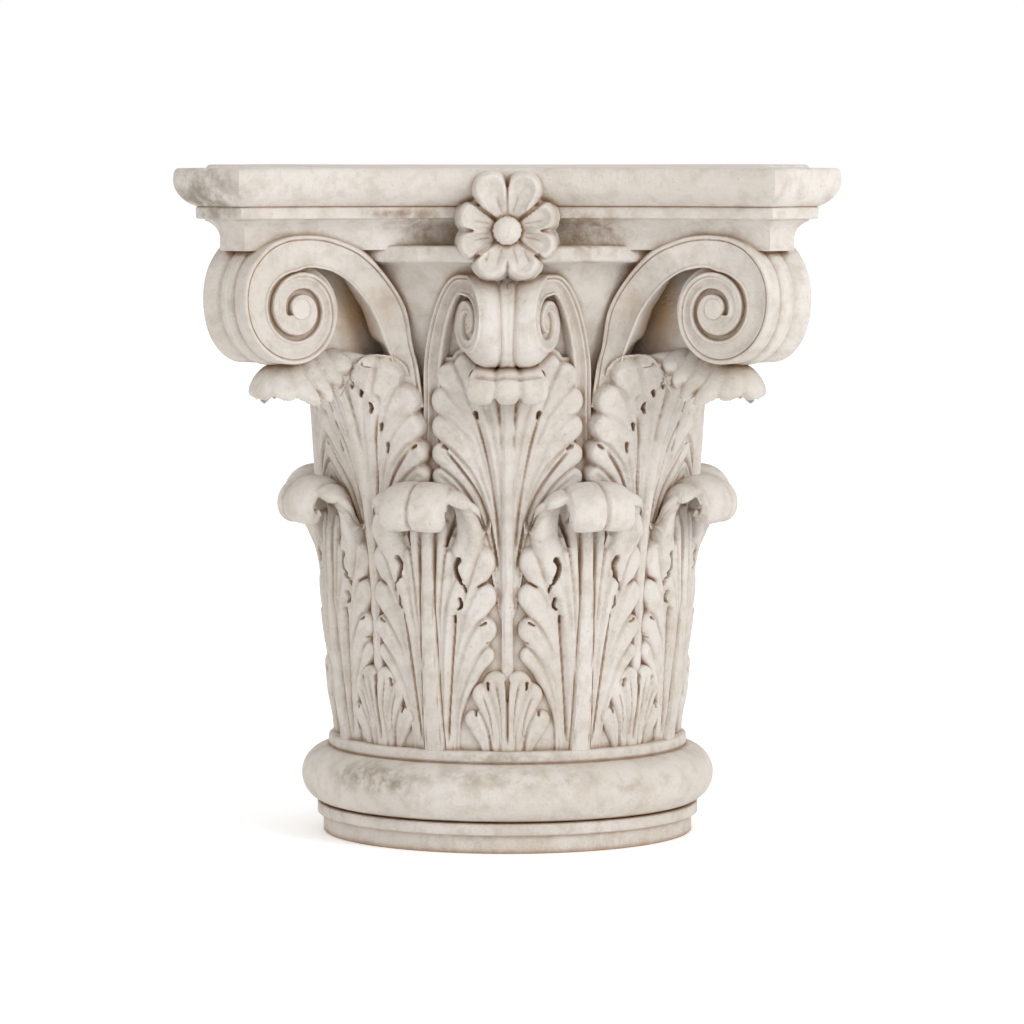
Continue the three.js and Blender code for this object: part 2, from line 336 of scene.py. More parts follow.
def finish_leaf(leaf, grooves, eyes, depth=2.4, width=1.6):
    """Marks the lines between leaflets, rounds every edge, then cuts the grooves and drills the eyes."""
    leaf.creases(depth, width)
    leaf.soften()
    for groove in grooves:
        leaf.groove(*groove)
    for eye in eyes:
        leaf.drill(*eye)


def rolled_ribs(leaf, start, half, ribs, lines=(), drop=4.5):
    """Carves ribs on the outer side of the tip, from start along the sheet and within half of its middle."""
    tip = Relief(*leaf.extent)
    for path, widths, crests in ribs:
        tip.blade(path, widths, crests, drop=drop, power=2.4)
    tip.creases(0.3 * drop, 1.2)
    tip.soften(2)
    for line in lines:
        tip.groove(*line)
    leaf.roll = (start, half, tip)


LOWER_LOBES = (  # from the root up to the hood
    (((19, 74), (20, 100), (25, 122), (35.5, 142), (46, 153)), (3, 4, 6, 8.5, 7.5), (-2, -1.5, -1, -1, -1)),
    (((16.5, 74), (19, 110), (26, 140), (35.5, 160), (45, 173)),
     (2.8, 3.6, 6, 9, 10), (-1, -1, -0.5, 0, 0.5)),
    (((14.4, 74), (17.5, 125), (24, 160), (34, 184), (43.5, 199)),
     (2.2, 3, 5.5, 9.5, 11.5), (-1, -0.5, -0.5, 0, 0.5)),
    (((12.8, 74), (15.5, 135), (21, 178), (31, 206), (42, 225)),
     (1.9, 2.8, 5.5, 10, 12), (-0.5, 0, 0, 0, 1)),
    (((11.6, 74), (14, 145), (19, 195), (28, 228), (34.5, 246), (33.5, 266), (30.5, 284)),
     (1.8, 2.6, 5.5, 10.5, 11.5, 10.8, 9.5), (0, 0, 0, 0.5, 2.5, 5.5, 6.5)),
)
LOWER_INNER = (  # narrow leaflets between the lobes and the midrib
    (((10.3, 78), (12.5, 150), (18, 188), (25.5, 209)), (1.7, 2.8, 5.8, 7), (0.5, 1, 2, 3)),
    (((8.8, 78), (10.3, 155), (13.7, 200), (19.5, 231)), (1.5, 2.5, 4.8, 5.6), (0.5, 1, 2, 2.6)),
    (((7.2, 78), (8, 170), (9.8, 215), (12.5, 256)), (1.4, 2.3, 3.8, 4.6), (0.7, 1.2, 1.8, 2.4)),
)
LOWER_GROOVES = (
    (((9.1, 78), (6.5, 170), (4.9, 262)), 1.1, 2.2),
    (((22, 186), (20, 165), (15.5, 120), (12, 85)), 1.3, 2.6),
)
LOWER_EYES = (
    (((27.5, 209), (24, 217), (23, 223), (25.5, 228)), (0.8, 2.2, 2.0, 2.8), 11),
    (((15, 238), (17, 247), (19, 254), (23, 262)), (0.9, 2.0, 1.7, 3.0), 11),
    (((24, 189), (26.5, 192), (25.5, 198)), (0.8, 1.7, 1.2), 7),
    (((21, 179), (21, 184)), (0.7, 1.3), 5),
    (((42, 177), (46, 179)), (0.6, 1.3), 3),
    (((46, 163), (53, 164)), (0.6, 1.6), 3),
    (((40, 207), (46, 210)), (0.6, 1.4), 3),
    (((30.5, 203), (29, 208)), (0.7, 1.3), 5),
)
LOWER_RIBS = (  # on the outer side of the hood
    (((33.5, 250), (34, 268), (33, 285)), (13.5, 12, 9), (-0.5, -0.5, -1)),
    (((26, 256), (27, 278), (27, 297)), (8.5, 9, 7.5), (0.2, 0.3, -0.2)),
    (((9.5, 258), (10.2, 290), (10, 316), (9.4, 334)), (11, 11.6, 11.2, 10), (0.6, 1.2, 1.4, 0.8)),
)
LOWER_RIB_GROOVES = (
    (((0, 262), (0, 300), (0, 334)), 1.6, 2.0),
    (((18.6, 262), (20, 292), (19.4, 318)), 1.5, 1.8),
)


def lower_leaf(step):
    """Leaf of the lower tier, from its root at the neck ring to its rolled tip."""
    leaf = Relief(64, 77, LOWER_SPINE[0][-1], step)
    leaf.blade(((19, 90), (23, 150), (26, 220), (28, 262)), (5, 10, 16, 20), (-9, -9, -8, -6), drop=4)
    leaf.blade(((0, 235), (0, 290), (0, 345)), (36, 29, 23), (-2, -1, 6), drop=3, power=4)
    leaf.blade(((30.5, 256), (30.5, 298)), (14, 13), (-2, -1), drop=3, power=4)
    for path, widths, crests in LOWER_LOBES:
        leaf.blade(path, widths, crests, drop=7, power=2.7, channel=1.0)
    for path, widths, crests in LOWER_INNER:
        leaf.blade(path, widths, crests, drop=5)
    leaf.blade(((0, 76), (0, 170), (0, 262)), (8.0, 5.4, 4), (2, 2.5, 3), drop=3, power=5)
    leaf.blade(((7.8, 76), (5.2, 170), (3.8, 262)), (1.1, 1, 0.9), (3.1, 3.3, 3.4), drop=2)
    finish_leaf(leaf, LOWER_GROOVES, LOWER_EYES)
    rolled_ribs(leaf, 264, 60, LOWER_RIBS, LOWER_RIB_GROOVES, drop=3.0)
    return leaf


FACE_SPINE = spine_rows(
    [(138, 118), (142, 145), (145, 200), (149, 250), (152, 300), (154, 335), (155, 345)],
    [(155, 345), (156, 357), (160, 367), (167, 371), (174, 369), (178.5, 362.5), (177.5, 357), (173, 355.5)],
)


def face_sheet(t, s):
    """Upper leaf on the middle of a face: its tip rolls outwards below the small scrolls."""
    r, z = np.interp(s, FACE_SPINE[0], FACE_SPINE[1]), np.interp(s, FACE_SPINE[0], FACE_SPINE[2])
    x = np.abs(t)
    out = np.clip(1 - (x / 62) ** 2, 0, 1)
    rolled = s > 345
    r = np.where(rolled, 155 + (r - 155) * out, r) - 1.0 * (x / 60) ** 2
    side = ease((x - 22) / 11) * rolled  # beside the roll the leaf stays upright
    r, z = r + (155 - x * x / 3600 + 0.12 * (s - 345) - r) * side, z + (s - z) * side
    thick = 24 - 17 * ease((s - 338) / 28)
    return polar(t / 150, r, z), thick


FAN_LOBES = (  # broad lobes of an upper leaf, from the lowest up
    (((5, 184), (14, 235), (31, 274), (49, 291)), (1.8, 3.2, 6, 8), (-2, -2, -1, -1)),
    (((4.5, 190), (12, 245), (29, 289), (47, 309)), (1.8, 3.2, 7.5, 9.5), (-1, -1, -0.5, 0)),
    (((3.8, 195), (10, 260), (26, 307), (45, 330)), (1.6, 3.2, 8.5, 11), (0, 0, -0.5, 0.5)),
    (((3.4, 200), (8.5, 270), (22, 321), (43.5, 350)), (1.6, 3.2, 9, 12), (0, 0, 0, 1)),
)
FAN_INNER = (  # narrow leaflets beside its midrib
    (((2.6, 205), (6.5, 285), (14, 325), (23, 350)), (1.4, 2.6, 5.5, 6.5), (1, 1, 1.5, 2)),
    (((2.2, 210), (5.2, 290), (9.5, 330), (13, 358)), (1.3, 2.4, 4.5, 5), (1.2, 1.2, 1.8, 2)),
)


def fan(leaf, crown, wide):
    """Leaflets that open from a narrow stem, their tips spread by wide. Returns their grooves."""
    leaf.blade(((0, 118), (0, 256)), (11, 10), (-6, -6), drop=3, power=4)
    leaf.blade(((4, 190), (12, 250), (22, 300), (28, 350)), (4, 9, 18, 22), (-7, -7, -7, -6), drop=4)
    for path, widths, crests in (*FAN_LOBES, *crown):
        path = [(x * wide, s) for x, s in path]
        leaf.blade(path, widths, crests, drop=5.5, power=3.2, channel=1.3)
    for path, widths, crests in FAN_INNER:
        leaf.blade(path, widths, crests, drop=4.5)
    deep = ((45, 313), (34, 299), (25, 285), (18, 270), (11, 245), (7, 220))
    shallow = ((24, 338), (17, 312), (9.5, 270), (6, 235))
    return ([(x * wide, s) for x, s in deep], 1.4, 3.2), (shallow, 1.2, 2.4)


def upper_midrib(leaf, top):
    """Midrib of an upper leaf, with a raised edge on each side."""
    leaf.blade(((0, 118), (0, 250), (0, top)), (5.2, 4.4, 4.4), (1.5, 2.5, 3), drop=3, power=4)
    leaf.blade(((4.4, 118), (3.6, 250), (4, top)), (0.9, 0.9, 0.9), (2.4, 3.2, 3.6), drop=2)


def face_leaf(step):
    """Upper leaf on the middle of a face."""
    leaf = Relief(74, 119, FACE_SPINE[0][-1], step)
    crown = (
        (((3, 205), (7.5, 280), (18, 333), (39.5, 369)), (1.5, 3, 9, 11), (0.5, 0.5, 0.5, 1.5)),
        (((2.8, 205), (7, 285), (15, 335), (27.5, 378)), (1.5, 3, 7, 9.5), (0.5, 0.5, 0.8, 2.0)),
    )
    grooves = fan(leaf, crown, 1.09)
    leaf.blade(((0, 340), (0, 402)), (21, 21), (-2, 2), drop=3, power=4)
    upper_midrib(leaf, 365)
    eyes = ((((47, 313), (50, 315)), (1.0, 1.8), 5), (((23, 337), (24, 341)), (1.2, 2.2), 6))
    finish_leaf(leaf, grooves, eyes)
    ribs = (
        (((16.5, 358), (16.5, 376), (16, 396)), (8, 8.6, 8), (0, 0.8, 0.8)),
        (((0, 358), (0, 376), (0, 398)), (6.5, 7.4, 7.4), (0, 0.6, 0.4)),
    )
    fold = (((-1, 387), (12, 387.5), (22, 386.5)), 1.7, 3.0)
    rolled_ribs(leaf, 364, 25, ribs, (fold,))
    return leaf


CORNER_SPINE = spine_rows(
    [(138, 118), (142, 145), (146, 200), (151, 250), (157, 285), (164, 312), (173, 335), (183, 357),
     (190, 370)],
    [(190, 370), (197, 380), (209, 384.5), (225, 382), (242, 376.5), (255, 368.5), (260.5, 359.5),
     (259.5, 350.5), (254, 345)],
)
# heights, and radii of the leaf's sides there
CORNER_FLANK = ([145, 200, 250, 300, 350, 395], [142, 145, 150, 156, 162, 168])


def corner_sheet(t, s):
    """Upper leaf under a corner scroll: its middle leans out along the corner and its tip rolls under."""
    r, z = np.interp(s, CORNER_SPINE[0], CORNER_SPINE[1]), np.interp(s, CORNER_SPINE[0], CORNER_SPINE[2])
    x = np.abs(t)
    rolled = ease((s - 370) / 30)
    lean = np.exp(-((x / (34 + 20 * rolled)) ** 2))
    flank = np.interp(z, *CORNER_FLANK)
    r = flank + (r - flank) * lean
    droop = 30 * ease((s - 372) / 66) - 10 * ease((s - 420) / 50)  # how far the tip's sides hang down
    z = z - droop * (np.minimum(x, 30) / 30) ** 2
    thick = 24 - 16 * ease((s - 345) / 30)
    return polar(t / (152 + (r - 152) * 0.8), r, z), thick


CORNER_EYES = (
    (((47, 313), (50, 315)), (1.0, 1.8), 4),
    (((26, 309), (27.5, 316)), (0.7, 1.4), 6),
    (((24.5, 326), (26, 331)), (0.7, 1.5), 6),
    (((20.5, 341), (22.6, 345), (22, 348)), (0.8, 1.6, 1.2), 7),
    (((16, 353), (18, 357)), (0.8, 1.5), 7),
    (((12, 360), (14, 364)), (0.7, 1.3), 5),
)
CORNER_RIBS = (  # ruffles of the rolled tip, from its neck to its end
    (((5, 372), (13, 380), (22, 387)), (4.5, 6.5, 7.5), (0, 0.5, 0)),
    (((4, 382), (12, 392), (22, 400)), (4.5, 6.5, 7.5), (0, 0.5, 0)),
    (((3, 394), (11, 405), (21.5, 413)), (4.5, 6.5, 7.5), (0, 0.5, 0)),
    (((3, 408), (11, 419), (21, 427)), (4.5, 6.5, 7.5), (0, 0.5, 0)),
    (((3, 418), (11, 433), (19.5, 442)), (4.5, 6.5, 7.5), (0.3, 0.6, 0.2)),
    (((1, 425), (6, 441), (11, 450)), (5, 6.6, 7.2), (0.3, 0.8, 0.5)),
    (((0, 420), (0, 442), (0.5, 454)), (5.5, 6.8, 6.8), (0.8, 1.2, 1)),
)


def corner_leaf(step):
    """Upper leaf under a corner scroll."""
    leaf = Relief(68, 119, CORNER_SPINE[0][-1], step)
    crown = (
        (((3, 205), (7.5, 280), (18, 330), (36.5, 370)), (1.5, 3, 8.5, 10), (0.5, 0.5, 0.5, 1.5)),
        (((2.8, 205), (7, 290), (15, 345), (26, 384)), (1.5, 3, 7, 8.5), (0.5, 0.5, 1, 2)),
    )
    grooves = fan(leaf, crown, 1.0)
    leaf.blade(((0, 350), (0, 380)), (23, 22), (-2, -2), drop=3, power=4)
    leaf.blade(((0, 398), (0, 480)), (29, 27), (-2, -1), drop=3, power=4)
    upper_midrib(leaf, 380)
    finish_leaf(leaf, grooves, CORNER_EYES)
    rolled_ribs(leaf, 380, 31, CORNER_RIBS)
    return leaf


def small_sheet(t, s):
    """Small leaflet: flat against the bell."""
    r = np.interp(s, [78, 110, 150], [138.5, 143, 145])
    return polar(t / 142, r, s), np.full(t.shape, 18.0)


def small_leaf(step):
    """Low leaflet that fills the gap between two roots of the lower tier."""
    leaf = Relief(40, 77, 152, step)
    leaf.blade(((0, 76), (0, 122)), (24, 15), (-3, -3), drop=3, power=3)
    for path, widths, crests in (
        (((16, 73), (19, 86), (23.5, 97), (26.5, 103)), (4, 5, 7.4, 8), (-1, -0.5, 0, 0.5)),
        (((8.5, 73), (10, 95), (14, 112), (18.5, 123)), (4, 5, 8, 9.6), (-0.5, 0, 0.5, 1)),
        (((2.6, 73), (3, 98), (5, 117), (8.6, 131)), (3.8, 4.8, 8, 10.6), (0.5, 0.5, 1.5, 2)),
    ):
        leaf.blade(path, widths, crests, drop=5.5, power=2.6, channel=1.2)
    grooves = (
        (((0, 84), (0, 147)), 1.1, 3),
        (((4.5, 84), (5.5, 110), (8.8, 132)), 0.9, 1.4),
        (((11, 84), (14, 106), (19, 122)), 0.9, 1.4),
    )
    eyes = (
        (((0, 118), (0, 133)), (0.9, 2.2), 8),
        (((14.5, 127), (14.8, 132)), (0.8, 1.6), 5),
        (((24.2, 106.5), (25, 111)), (0.8, 1.6), 5),
    )
    finish_leaf(leaf, grooves, eyes, 2.2, 1.5)
    return leaf


# ---- scrolls


def local(azimuth, out, side, z):
    """Points from distance out along azimuth, distance to the side of it and height."""
    out, side, z = np.broadcast_arrays(out, side, z)
    c, s = cos(azimuth), sin(azimuth)
    return np.stack([out * s + side * c, -out * c + side * s, z], axis=-1)


def band_section(width, depth, bulge, detail, rim, hollow, bead):
    """Corners of a scroll's band: distance in from its outer edge, and depth behind its face."""
    w, t, k = width, depth, min(1.0, width / 14.0)
    step = 1.3 * detail
    face = [(0, 2.0), (0.2, 0.9), (0.9 * k, 0), (rim * k, 0)]
    face += [(rim * k + 0.5 * k, step), (rim * k + 1.1 * k, 1.4 * step)]
    face += [(rim * k + 1.8 * k, 0.8 * step), (rim * k + 3.0 * k, 0.9 * step)]
    start, end = face[-1][0], w - 3.2 * k
    dip = hollow * (0.25 + 0.75 * detail)
    for u in (0.15, 0.35, 0.55, 0.75, 0.92):
        face.append((start + (end - start) * u, dip * sin(pi * (0.12 + 0.76 * u))))
    face += [(w - 2.6 * k, 0.5 * dip * detail), (w - 1.9 * k, 0.3), (w - 0.9 * k, 0.4)]
    face += [(w - 0.2, 1.3), (w, 2.8)]
    near, swell = min(5.2 * bead, 0.3 * t), -bulge
    back = [(w, t), (swell - bead, t), (swell - bead, t - 0.7 * near)]
    back += [(swell - 0.4 * bead, t - 0.9 * near), (swell + 1.3 * bead, t - 1.12 * near)]
    back += [(swell + 1.2 * bead, t - 1.4 * near), (swell, t - 1.65 * near)]
    back += [(0.95 * swell, 0.45 * t), (0.62 * swell, 0.25 * t), (0.25 * swell, 0.12 * t)]
    return np.array(face + back)


def band(shape, azimuth, rows, count, rim, hollow, bead):
    """A scroll's band.

    rows: outer edge (out, side, z), inner edge (out, side, z), depth behind the face, how far its
    edge swells towards the middle, and how crisp its rims are.
    """
    rows = smooth_path(rows, count)
    outer = local(azimuth, rows[:, 0], rows[:, 1], rows[:, 2])
    inner = local(azimuth, rows[:, 3], rows[:, 4], rows[:, 5])
    width = np.linalg.norm(inner - outer, axis=1)
    inward = (inner - outer) / width[:, None]
    face = np.cross(np.gradient((outer + inner) / 2, axis=0), inward)
    face /= np.linalg.norm(face, axis=1)[:, None]
    if np.dot(face[count // 2], local(azimuth, 0, -1, 0)) < 0:
        face *= -1
    rings = []
    for i in range(count):
        section = band_section(width[i], *rows[i, 6:9], rim, hollow, bead)
        rings.append(outer[i] + inward[i] * section[:, :1] - face[i] * section[:, 1:])
    shape.add(*tube(rings))


def web(shape, azimuth, outline, half):
    """Flat web: an outline of (out, z) points, with half(out) its thickness on each side."""
    rings = []
    for u in np.linspace(-1, 1, 5):
        rings.append([local(azimuth, out, u * half(out), z) for out, z in outline])
    shape.add(*tube(rings))


def disc(shape, azimuth, out, z, radius, half, inset):
    """Round web behind the coils of a scroll, inset from its faces."""
    turn = np.linspace(0, 2 * pi, 40, endpoint=False)
    outline = [(out + radius * sin(a), z + radius * cos(a)) for a in turn]
    web(shape, azimuth, outline, lambda o: half(o) - inset)


CORNER_EYE = (252, 422.6)  # middle of a corner scroll: distance out from the axis, and height
CORNER_WEB = [(128, 352), (174, 356), (196, 376), (240, 388), (252, 420), (240, 452), (210, 466), (128, 466)]
CORNER_TURNS = pi * np.array([0, 0.16, 0.32, 0.5, 0.76, 1, 1.5, 2, 2.5, 3, 3.5, 4, 4.5, 4.9])
CORNER_RADII = [55.8, 55.8, 54, 49.5, 45, 41.5, 31.8, 27.8, 24.5, 19.6, 14.8, 11, 8.4, 6.8]


def corner_side(out):
    """How far a corner scroll's face stands from the upright plane through the corner, out from the axis."""
    return 32.0 - 0.16 * (out - CORNER_EYE[0])


def front_of_neck(across):
    """How far in front of the axis the neck of the abacus stands, across from a face's middle."""
    return SPAN / 2 - NECK_STEP - HOLLOW * (1 - (across / side_reach(NECK_STEP)) ** 2)


def corner_scroll():
    """Scroll under a horn of the abacus, with the stalk it grows from."""
    half = Shape()
    rows = []

    def on_stalk(degrees, radius, z):
        turn = CORNER - radians(degrees)
        return (radius * cos(turn), -radius * sin(turn), z)

    def on_face(out, z):
        side = corner_side(out)
        clear = front_of_neck((out - side) / 2**0.5) + 5  # the band passes in front of the abacus's neck
        ahead = max(clear - (out + side) / 2**0.5, 0) * ease((z - 440) / 16) / 2**0.5
        return (out + ahead, -side - ahead, z)

    for outer, inner, depth in (
        (on_stalk(25.0, 151, 345), on_stalk(31.0, 160, 345), 24),
        (on_stalk(26.0, 155, 375.7), on_stalk(31.2, 171, 380), 21),
        (on_stalk(27.0, 158.5, 392), on_face(176.5, 398), 19),
        (on_stalk(27.6, 166, 420.4), on_face(188, 420.5), 17),
        (on_face(172.6, 444.8), on_face(203.5, 437.5), 17),
        (on_face(194.7, 464.8), on_face(221, 449.0), 24),
        (on_face(220, 475.2), on_face(235, 453.2), 32),
        (on_face(240, 478.5), on_face(246, 453.6), 33),
    ):
        rows.append((*outer, *inner, depth, 0.0, 1.0))
    out, z = CORNER_EYE
    for turn in np.arange(0.1, 4.7 * pi, 0.14):
        r = np.interp(turn, CORNER_TURNS, CORNER_RADII)
        inner = np.interp(turn + 2 * pi, CORNER_TURNS, CORNER_RADII) + 0.8 + 3.4 * ease(turn / 1.2)
        inner += (0.1 - inner) * ease((turn - 2.6 * pi) / 0.6)
        s, c = sin(turn), cos(turn)
        depth = corner_side(out + r * s) + 0.8
        detail = 1 - 0.9 * ease((turn - 1.5 * pi) / pi)
        edge = on_face(out + r * s, z + r * c)
        rows.append((*edge, *on_face(out + inner * s, z + inner * c), depth, 0.0, detail))
    band(half, CORNER, rows, 280, 2.6, 3.4, 1.3)
    whole = paired(half, CORNER)
    disc(whole, CORNER, 251, 420, 36, corner_side, 5.5)
    disc(whole, CORNER, out, z, 7.6, corner_side, -0.2)
    web(whole, CORNER, CORNER_WEB, lambda o: 14)
    return whole


FACE_EYE = (177, 411.5)  # middle of a small scroll: distance out from the axis, and height
FACE_WEB = [(126, 372), (160, 376), (176, 390), (190, 400), (190, 420), (186, 440), (180, 449), (126, 449)]


def face_side(out):
    """How far a small scroll's face stands from the upright plane through a face's middle."""
    return 32 - 0.42 * (out - FACE_EYE[0])


def face_scroll():
    """Pair of small scrolls that meet under the flower, with their stems."""
    half = Shape()
    rows = []

    def on_face(out, z):
        return (out, -face_side(out), z)

    for outer, inner, depth in (
        ((126, -66, 312), (133, -53, 312), 24),
        ((136, -65, 345), (143, -51, 345), 26),
        ((143, -64.5, 381), (150, -51.5, 378), 27),
        ((154, -59, 413), (160, -47, 407), 30),
        ((165.5, -51, 435), (168, -42.5, 423), 33),
        ((173.5, -42, 446.5), (174, -37.5, 432), 34),
    ):
        rows.append((*outer, *inner, depth, 0.0, 1.0))
    turns = np.arange(0.0, 3.0 * pi, 0.15)
    outer = np.interp(turns, [0, 0.8, 1.6, pi, 4.7, 2 * pi, 3 * pi], [36.5, 30, 25.5, 23.2, 20.5, 16.5, 7.5])
    inner = np.interp(turns, [0, 1.6, pi, 4.7, 2 * pi, 3 * pi], [19.5, 15.5, 13, 10.5, 7.5, 1.0])
    swell = np.interp(turns, [0, 0.8, 1.6, pi, 4.7, 6], [1, 3, 4.5, 12, 7, 0])
    out, z = FACE_EYE
    for turn, r, i, bulge in zip(turns, outer, inner, swell):
        s, c = sin(turn), cos(turn)
        depth = face_side(out + r * s) + 0.8
        row = (*on_face(out + r * s, z + r * c), *on_face(out + i * s, z + i * c))
        rows.append((*row, depth, bulge, 1 - 0.9 * ease((turn - 0.8) / 2)))
    band(half, 0.0, rows, 170, 2.0, 5.0, 1.0)
    whole = paired(half, 0.0)
    disc(whole, 0.0, 176, 410.5, 17.5, face_side, 4.5)
    web(whole, 0.0, FACE_WEB, lambda o: 22)
    return whole


# ---- flower


def cup(relief, points, widths, low, rim):
    """A spoon-shaped lobe: its rim stands rim above a hollow middle, whose height is low along the lobe."""
    inside, d, u = relief.near(points, max(widths) + 3)
    width = spread(widths, u)
    q = d / width
    h = spread(low, u) + rim * np.exp(-(((q - 0.74) / 0.3) ** 2)) * ease(u * 1.6)
    h -= 2.5 * np.clip((q - 0.8) / 0.2, 0, 1) ** 2 + np.clip(d - width, 0, None) * relief.CLIFF
    relief.raise_to(inside, np.maximum(h, relief.FLOOR))


def flower_sheet(t, s):
    """Flower: an upright plate in front of the abacus."""
    return local(0.0, 211.0, t, s), np.full(t.shape, 24.0)


def flower(step):
    """Four double-lobed petals round a button, on the middle of one side of the abacus."""
    bloom = Relief(46, 437, 527.5, step)
    mid = 482.0  # height of its middle
    button_radius = 10.6
    bloom.blade(((0, mid + 34), (0, mid + 39)), (5.5, 5), (-8, -8), drop=3)
    bloom.blade(((0, mid), (0.1, mid)), (27, 27), (-9, -9), drop=3, power=4)
    at_sides, at_ends = (-7.5, -6, -4), (-5.5, -3, -0.5)  # heights along a lobe's hollow
    for path, widths, low in (
        (((9, 3), (17, 6.5), (24.5, 9.8)), (5.5, 9.5, 12.4), at_sides),
        (((9, -3), (17, -6.5), (24.5, -9.8)), (5.5, 9.5, 12.4), at_sides),
        (((3, 9), (8, 19), (12.2, 31)), (5.5, 10.5, 13.6), at_ends),
        (((3, -9), (7.5, -16), (11.5, -22.5)), (5.5, 10.5, 13.2), at_ends),
    ):
        cup(bloom, [(x, mid + z) for x, z in path], widths, low, 4.5)
    bloom.creases(1.3, 1.2)
    bloom.soften()
    bloom.groove(((0, mid + 12), (0, mid + 40)), 1.1, 1.2)
    for side in (1, -1):
        bloom.groove(((7, mid + 7 * side), (21, mid + 17.5 * side), (33, mid + 26 * side)), 1.9, 5)
        for line in ((4, 13, 8, 26), (11, 11, 17, 24), (13, 5, 26, 7.5), (13, 2, 27, 3)):
            bloom.groove(((line[0], mid + side * line[1]), (line[2], mid + side * line[3])), 0.9, 1.0)
    bloom.drill(((0, mid + 33), (0, mid + 46)), (0.8, 6.4), 9)
    bloom.drill(((0, mid - 42), (0, mid - 36)), (3.0, 1.0), 4)
    bloom.drill(((26, mid), (36, mid)), (1.0, 4.6), 4)
    bloom.drill(((33, mid + 25), (21, mid + 19)), (4.0, 1.0), 6)
    bloom.drill(((31, mid - 25), (21, mid - 19)), (4.0, 1.0), 6)
    button = np.hypot(bloom.t, bloom.s - mid)
    bloom.drill(((0, mid), (0.1, mid)), (14, 14), 3)
    dome = 8 - 6 * (button / button_radius) ** 2.4
    bloom.h = np.maximum(bloom.h, np.where(button < button_radius, dome, bloom.FLOOR))
    return bloom


# ---- turned and moulded parts


def lathe(shape, profile, steps=192):
    """Adds a profile of (radius, height) turned about the axis."""
    turn = np.linspace(0, 2 * pi, steps, endpoint=False)
    shape.add(*tube([polar(turn, r, z) for r, z in profile]))


def arc(centre, radius, start, end, count):
    """Points (radius, height) on a circle, with angles in degrees from outwards, up positive."""
    angles = np.radians(np.linspace(start, end, count))
    return [(centre[0] + radius * cos(a), centre[1] + radius * sin(a)) for a in angles]


def foot_and_bell():
    """Plinth disc, fillet, torus and neck fillet, and the bell that the leaves stand on with its lip."""
    shape = Shape()
    plinth = [(146.2, 0), (147.2, 1), (147.2, 8), (147.2, 13.4), (147.6, 14.4), (151, 14.6), (152, 15.6)]
    plinth += [(152, 19), (152, 22.6), (151, 23.8), (148, 24)]
    torus = arc((142.0, 46.4), 22.4, -88, 88, 30)
    neck = [(141.5, 68.9), (141.6, 69.6), (142.6, 70.4), (143, 72), (143, 76), (142.4, 77.8), (140.5, 78.6)]
    lathe(shape, plinth + torus + neck)
    wall = [(126, 60), (134, 78), (138, 120), (140, 200), (141, 300), (140, 330), (140, 352)]
    flare = [(145, 378), (153, 402), (163, 424), (172, 444), (176, 454)]
    lip = [(182, 456.4), (195, 457.4), (198, 458.4), (199, 460), (199, 467.5), (198, 469.4)]
    lip += [(196, 470), (120, 471)]
    lathe(shape, [tuple(p) for p in smooth_path(wall + flare, 60)] + lip)
    return shape


ABACUS_PROFILE = [  # how far a level stands in from the outermost one, and its height
    (42, 466.6), (35.6, 466.8), (NECK_STEP, 467.6), (NECK_STEP, 472), (NECK_STEP, 477), (34.5, 480),
    (32.8, 483.2), (30.2, 486), (27.2, 488), (24, 489.4), (23.6, 490.6), (18, 490.9), (17.2, 491.6),
    (17, 492.5), (17, 498.6), (17.3, 499.6), (18.2, 500.2), (16.4, 500.6), (13.2, 502), (9.6, 504),
    (6.2, 506.8), (3.4, 510), (1.4, 513.4), (0.3, 516.8), (0, 520), (0.2, 524), (1, 527),
    (2.6, 528.6), (5, 529),
]


def abacus_ring(step, z, across=44):
    """One level of the abacus: four hollow sides between cut corners, moved in by step."""
    half = SPAN / 2
    ring = []
    for quarter in range(4):
        reach = side_reach(step)
        for i in range(across + 1):
            u = 2 * i / across - 1
            x = u * reach
            y = -(half - step - HOLLOW * (1 - u * u))
            ring.append(turned(np.array([x, y, z]), quarter * QUARTER))
        for i in (1, 2, 3):  # along the cut corner
            a = np.array([reach, -(half - step), z])
            b = np.array([half - step, -reach, z])
            ring.append(turned(a + (b - a) * i / 4, quarter * QUARTER))
    return ring


def abacus():
    """Moulded slab on top."""
    shape = Shape()
    shape.add(*tube([abacus_ring(step, z) for step, z in ABACUS_PROFILE]))
    return shape


# ---- materials


def linear(code):
    """Linear colour from an sRGB hex code."""
    parts = [int(code[i : i + 2], 16) / 255 for i in (0, 2, 4)]
    return [c / 12.92 if c <= 0.04045 else ((c + 0.055) / 1.055) ** 2.4 for c in parts] + [1.0]


def add_node(tree, kind, values=None, links=None, **settings):
    """Adds a node, sets its own settings and socket values, and links its inputs."""
    node = tree.nodes.new(kind)
    for name, value in settings.items():
        setattr(node, name, value)
    for key, value in (values or {}).items():
        node.inputs[key].default_value = value
    for key, source in (links or {}).items():
        tree.links.new(source, node.inputs[key])
    return node


def feed(tree, node, values):
    """Sets each numbered input of a node, or links it where its value is a socket."""
    for index, value in values:
        if isinstance(value, bpy.types.NodeSocket):
            tree.links.new(value, node.inputs[index])
        else:
            node.inputs[index].default_value = value


def mix(tree, factor, a, b):
    """Colour a with b laid over it by factor."""
    node = add_node(tree, "ShaderNodeMix", data_type="RGBA")
    feed(tree, node, ((0, factor), (6, a), (7, b)))
    return node.outputs[2]


def ramp(tree, value, low, high, to_low=0.0, to_high=1.0):
    """Value stretched from between low and high, and held at the ends."""
    node = add_node(tree, "ShaderNodeMapRange", {1: low, 2: high, 3: to_low, 4: to_high}, {0: value})
    return node.outputs[0]


